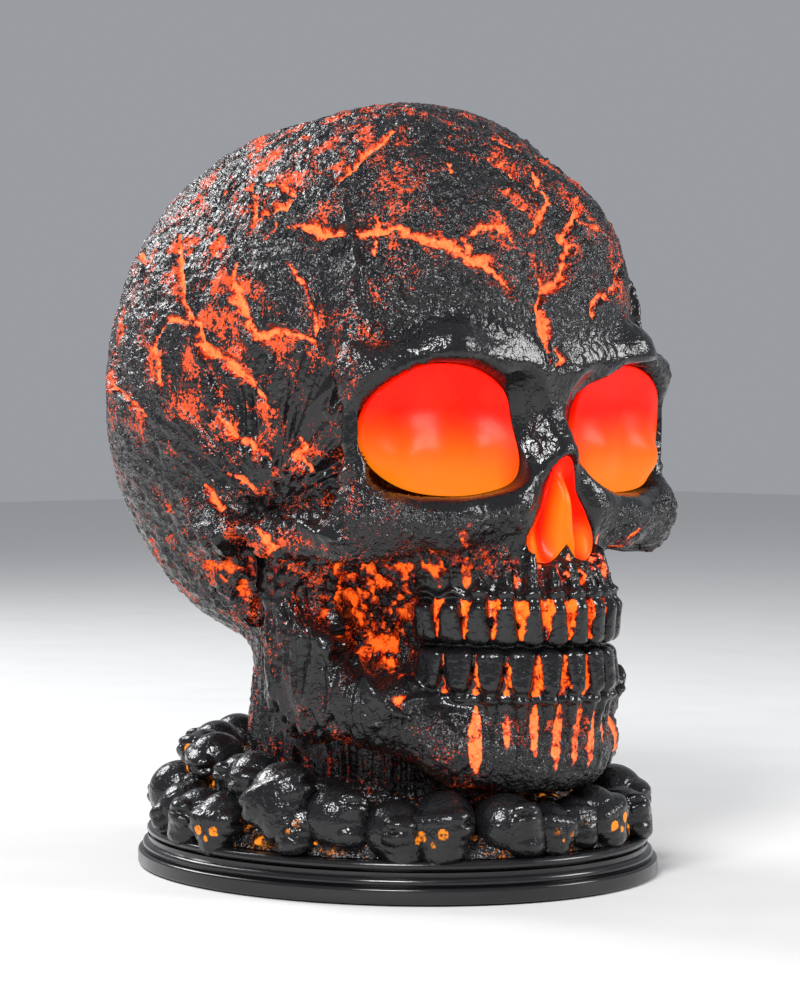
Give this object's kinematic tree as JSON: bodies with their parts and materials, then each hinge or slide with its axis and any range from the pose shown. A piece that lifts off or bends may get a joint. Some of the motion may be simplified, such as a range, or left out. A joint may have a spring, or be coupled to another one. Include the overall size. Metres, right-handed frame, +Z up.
{
  "type": "skull lamp",
  "caption": "Battery table lamp shaped as a human skull on an oval plinth, with cracked dark skin, lit eye and nose openings and a mound of small skulls round its neck.",
  "frame": {"origin": "centre of the whole lamp's outline in plan, on the surface that it stands on", "axes": "+Z up through the crown; -Y the way the face looks; +X the skull's own left"},
  "size_m": [0.148, 0.1802, 0.2285],
  "materials": {
    "shell": "translucent orange moulding, painted black on the high spots, so the cracks glow",
    "lens": "translucent red and orange, lit from inside",
    "plinth": "smooth black gloss",
    "plate": "fine moulded texture",
    "steel": "bright zinc",
    "board": "green board lacquer",
    "post": "plain white moulding",
    "led": "tinted clear resin, lit",
    "cell": "plain wrapped metal can",
    "rubber": "soft matt",
    "wire_red": "plain insulation",
    "wire_black": "plain insulation"
  },
  "bodies": {
    "lamp": {"skull_shell": "shell", "skull_pile": "shell", "eye_lens_right": "lens", "eye_lens_left": "lens", "nose_lens": "lens", "plinth": "plinth", "bottom_plate": "plate", "switch_body": "plate", "circuit_board": "board", "lamp_post": "post", "led_board": "board", "supply_wire_red": "wire_red", "supply_wire_black": "wire_black", "battery_1": "cell", "plate_contact_1": "steel", "spring_contact_1": "steel", "led_1": "led", "battery_2": "cell", "plate_contact_2": "steel", "spring_contact_2": "steel", "led_2": "led", "battery_3": "cell", "plate_contact_3": "steel", "spring_contact_3": "steel", "led_3": "led", "plate_screw_1": "steel", "neck_screw_1": "steel", "foot_1": "rubber", "plate_screw_2": "steel", "neck_screw_2": "steel", "foot_2": "rubber", "plate_screw_3": "steel", "neck_screw_3": "steel", "foot_3": "rubber", "plate_screw_4": "steel", "neck_screw_4": "steel", "foot_4": "rubber"},
    "battery_door": {"battery_door": "plate"},
    "door_screw": {"door_screw": "steel"},
    "switch_slider": {"switch_slider": "plate"}
  },
  "joints": [
    {"name": "door_hinge", "type": "hinge", "parent": "lamp", "child": "battery_door", "pos_m": [0, 0.02245, 0.0025], "axis": [1, 0, 0], "range_deg": [0, 30]},
    {"name": "door_screw_turn", "type": "hinge", "parent": "battery_door", "child": "door_screw", "pos_m": [0, -0.04045, 0.0025], "axis": [0, 0, 1], "continuous": true},
    {"name": "switch_slide", "type": "slide", "parent": "lamp", "child": "switch_slider", "axis": [1, 0, 0], "range_m": [0, 0.004]}
  ]
}
